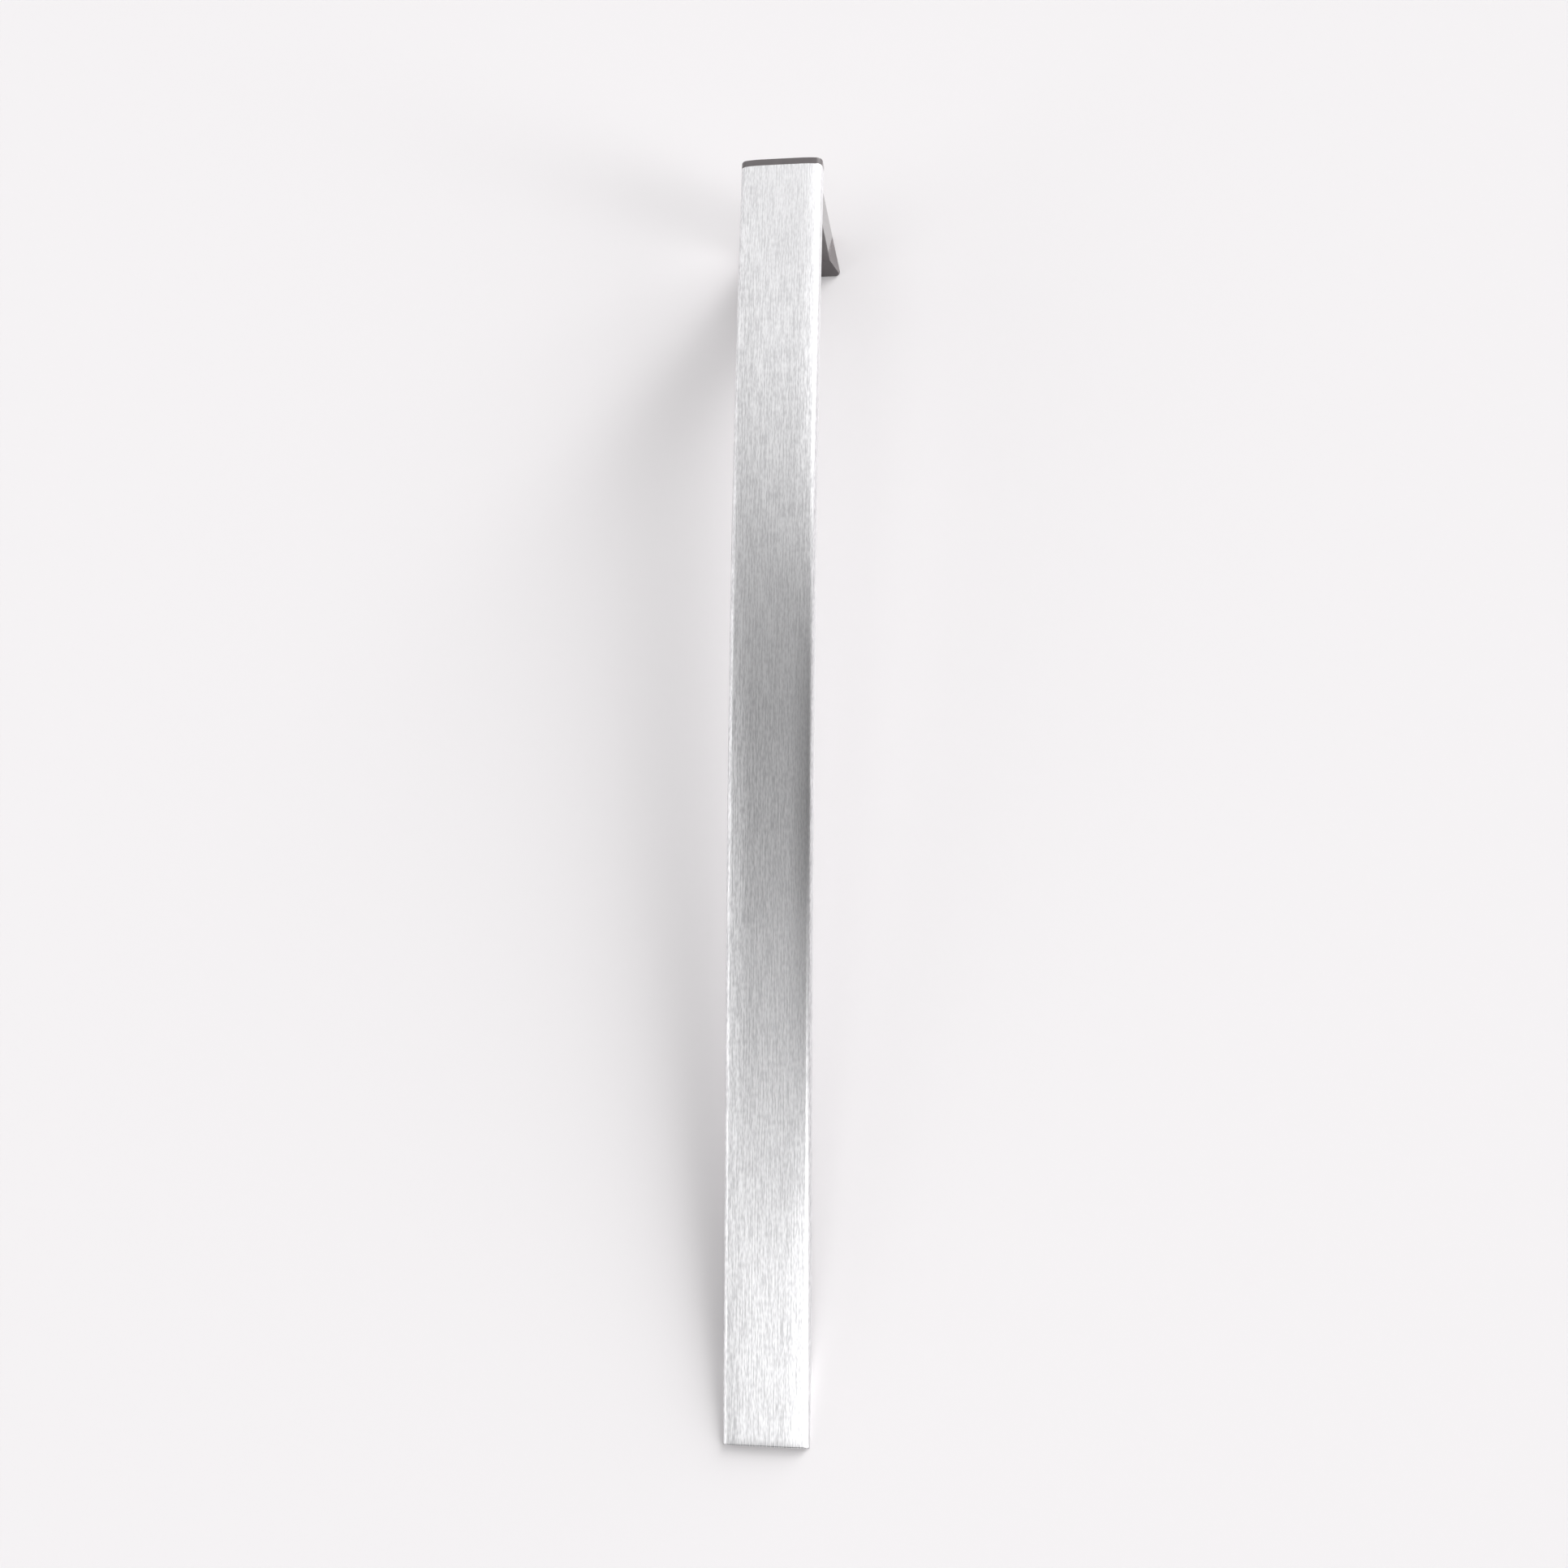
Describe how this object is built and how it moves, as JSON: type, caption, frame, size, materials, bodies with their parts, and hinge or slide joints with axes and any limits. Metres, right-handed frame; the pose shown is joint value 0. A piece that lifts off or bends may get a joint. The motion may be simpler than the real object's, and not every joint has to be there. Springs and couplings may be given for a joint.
{
  "type": "refrigerator door handle",
  "caption": "Bowed refrigerator door handle: a brushed aluminium channel lying on the door at its heel, with a dark grey plastic end post at the raised end",
  "frame": {"origin": "middle of the handle's length and width, on the door face that the heel and the foot stand on", "axes": "+X across the handle, +Y from the heel to the raised end, +Z away from the door"},
  "size_m": [0.0292, 0.4094, 0.05],
  "materials": {
    "brushed_aluminium": "brushed",
    "dark_plastic": "gloss"
  },
  "bodies": {
    "root": {"grip_bar": "brushed_aluminium", "end_post": "dark_plastic"}
  },
  "joints": []
}
